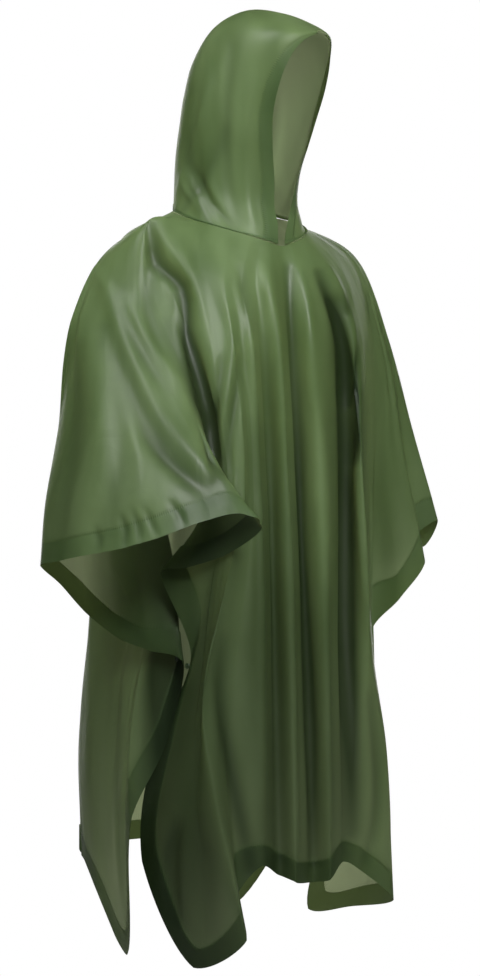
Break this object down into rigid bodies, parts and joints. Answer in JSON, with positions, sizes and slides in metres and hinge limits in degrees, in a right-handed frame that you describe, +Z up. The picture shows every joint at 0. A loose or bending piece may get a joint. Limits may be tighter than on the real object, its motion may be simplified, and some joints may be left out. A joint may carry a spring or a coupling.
{
  "type": "hooded rain poncho",
  "caption": "Olive-green hooded rain poncho in glossy see-through film, standing as worn with no wearer, with wide open sleeves, side snaps and folded hems.",
  "frame": {"origin": "middle of the neck opening at the height where the poncho rests on the shoulders", "axes": "+X towards the wearer's left, -Y towards the front, +Z up along the garment's height"},
  "size_m": [0.6682, 0.4516, 1.3349],
  "materials": {
    "film": "gloss",
    "snap": "gloss"
  },
  "bodies": {
    "root": {"front_panel": "film", "left_sleeve": "film", "back_panel": "film", "right_sleeve": "film", "front_hem": "film", "left_side_hem": "film", "back_hem": "film", "right_side_hem": "film", "hood_right": "film", "hood_left": "film", "face_hem_right": "film", "face_hem_left": "film", "neck_band": "film", "right_snap_cap": "snap", "right_snap_socket": "snap", "left_snap_cap": "snap", "left_snap_socket": "snap"}
  },
  "joints": []
}
